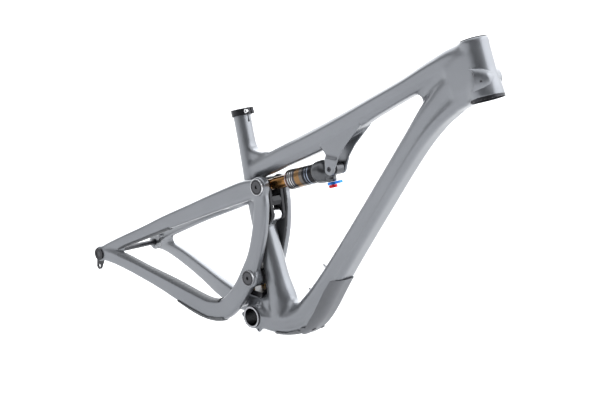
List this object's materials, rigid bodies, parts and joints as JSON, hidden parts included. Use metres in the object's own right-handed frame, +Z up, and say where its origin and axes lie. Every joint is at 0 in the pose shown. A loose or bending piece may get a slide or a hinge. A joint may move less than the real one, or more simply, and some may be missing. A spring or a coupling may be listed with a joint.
{
  "type": "full-suspension bicycle frame",
  "caption": "Full-suspension mountain-bike frame: front triangle, one-piece rear swingarm on a link and a rail carrier, air shock, guards and rear axle.",
  "frame": {"origin": "centre of the bottom bracket shell, on its axis and halfway along it", "axes": "+X forwards towards the head tube, +Y to the rider's left, +Z up; the drive side is -Y"},
  "size_m": [0.9757, 0.171, 0.6369],
  "materials": {
    "carbon": "satin clear over bare grey composite",
    "carbon_trim": "satin",
    "silver_metal": "machined",
    "black_metal": "satin anodised",
    "link_black": "satin anodised",
    "steel": "plain",
    "steel_dark": "black oxide",
    "axle_metal": "satin anodised",
    "guard_rubber": "matt moulded",
    "guard_rubber_soft": "matt",
    "rail_coating": "polished coating",
    "gold_coating": "polished coating",
    "bushing_plastic": "plain",
    "shock_grey": "satin anodised",
    "shock_sleeve": "satin anodised",
    "shock_rings": "machined",
    "blue_anodised": "anodised",
    "red_anodised": "anodised"
  },
  "bodies": {
    "front": {"front_triangle": "carbon", "bb_sleeve": "silver_metal", "headset_seat_lower": "black_metal", "headset_seat_upper": "black_metal", "seat_collar": "black_metal", "seat_collar_bolt": "steel", "seat_collar_nut": "steel", "cable_port_cover_right": "carbon_trim", "cable_port_cover_left": "carbon_trim", "cable_port_screws": "steel", "bottle_inserts": "black_metal", "bottle_bolts": "steel_dark", "downtube_protector": "guard_rubber", "protector_bolts": "steel_dark", "bb_skid_guard": "guard_rubber", "shock_bolt": "steel_dark", "shock_nut": "black_metal", "shock_spacers": "silver_metal", "link_boss_bearings": "steel", "guide_rails": "rail_coating", "rail_clamp_lower": "black_metal", "rail_clamp_upper": "black_metal", "rail_clamp_bolts": "steel_dark"},
    "link": {"link": "link_black", "frame_pivot_axle": "silver_metal", "upper_pivot_axle": "steel", "upper_pivot_caps": "black_metal"},
    "swingarm": {"swingarm": "carbon", "upper_pivot_bearings": "steel", "lower_pivot_bearings": "steel", "chainstay_guard_upper": "guard_rubber", "chainstay_guard_lower": "guard_rubber", "seatstay_guard": "guard_rubber", "derailleur_hanger": "black_metal", "hanger_bolt": "black_metal", "brake_mount_inserts": "steel"},
    "carrier": {"switch_carrier": "black_metal", "carrier_bushings": "bushing_plastic", "lower_pivot_bolts": "black_metal"},
    "shock_body": {"shock_head": "shock_grey", "air_sleeve": "shock_sleeve", "seal_head": "shock_rings", "wiper": "guard_rubber_soft", "shock_front_bushing": "bushing_plastic", "air_valve_cap": "shock_grey"},
    "shock_shaft": {"shock_shaft": "gold_coating", "shock_rear_bushing": "bushing_plastic", "shock_piston": "silver_metal"},
    "lever": {"compression_lever": "blue_anodised"},
    "knob": {"rebound_knob": "red_anodised"},
    "rear_axle": {"rear_axle": "axle_metal"}
  },
  "joints": [
    {"name": "link_pivot", "type": "hinge", "parent": "front", "child": "link", "pos_m": [0.0185, 0, 0.2095], "axis": [0, 1, 0], "range_deg": [0, 44], "stiffness_Nm_per_rad": 60, "springref_deg": -20.05},
    {"name": "swingarm_pivot", "type": "hinge", "parent": "link", "child": "swingarm", "pos_m": [0.0074, 0, 0.2671], "axis": [0, 1, 0], "range_deg": [-30.4, 0]},
    {"name": "carrier_pivot", "type": "hinge", "parent": "swingarm", "child": "carrier", "pos_m": [-0.002, 0, 0.0825], "axis": [0, 1, 0], "range_deg": [-13.8, 0]},
    {"name": "shock_body_pivot", "type": "hinge", "parent": "front", "child": "shock_body", "pos_m": [0.1735, 0, 0.329], "axis": [0, 1, 0], "range_deg": [-9.4, 0], "deforming": ["wiper"]},
    {"name": "shock_shaft_pivot", "type": "hinge", "parent": "link", "child": "shock_shaft", "pos_m": [0.0074, 0, 0.2671], "axis": [0, 1, 0], "range_deg": [-53.5, 0]},
    {"name": "lever_turn", "type": "hinge", "parent": "shock_body", "child": "lever", "pos_m": [0.16717, 0, 0.29943], "axis": [0.3492, 0, -0.937], "range_deg": [0, 90]},
    {"name": "knob_turn", "type": "hinge", "parent": "shock_body", "child": "knob", "pos_m": [0.16909, 0, 0.29427], "axis": [0.3492, 0, -0.937], "range_deg": [-150, 150]},
    {"name": "axle_slide", "type": "slide", "parent": "swingarm", "child": "rear_axle", "axis": [0, 1, 0], "range_m": [0, 0.17]}
  ],
  "couplings": [
    {"joint": "swingarm_pivot", "follows": "link_pivot", "ratio": -0.6885},
    {"joint": "carrier_pivot", "follows": "link_pivot", "ratio": -0.3115},
    {"joint": "shock_body_pivot", "follows": "link_pivot", "ratio": -0.21218},
    {"joint": "shock_shaft_pivot", "follows": "link_pivot", "ratio": -1.2122}
  ]
}
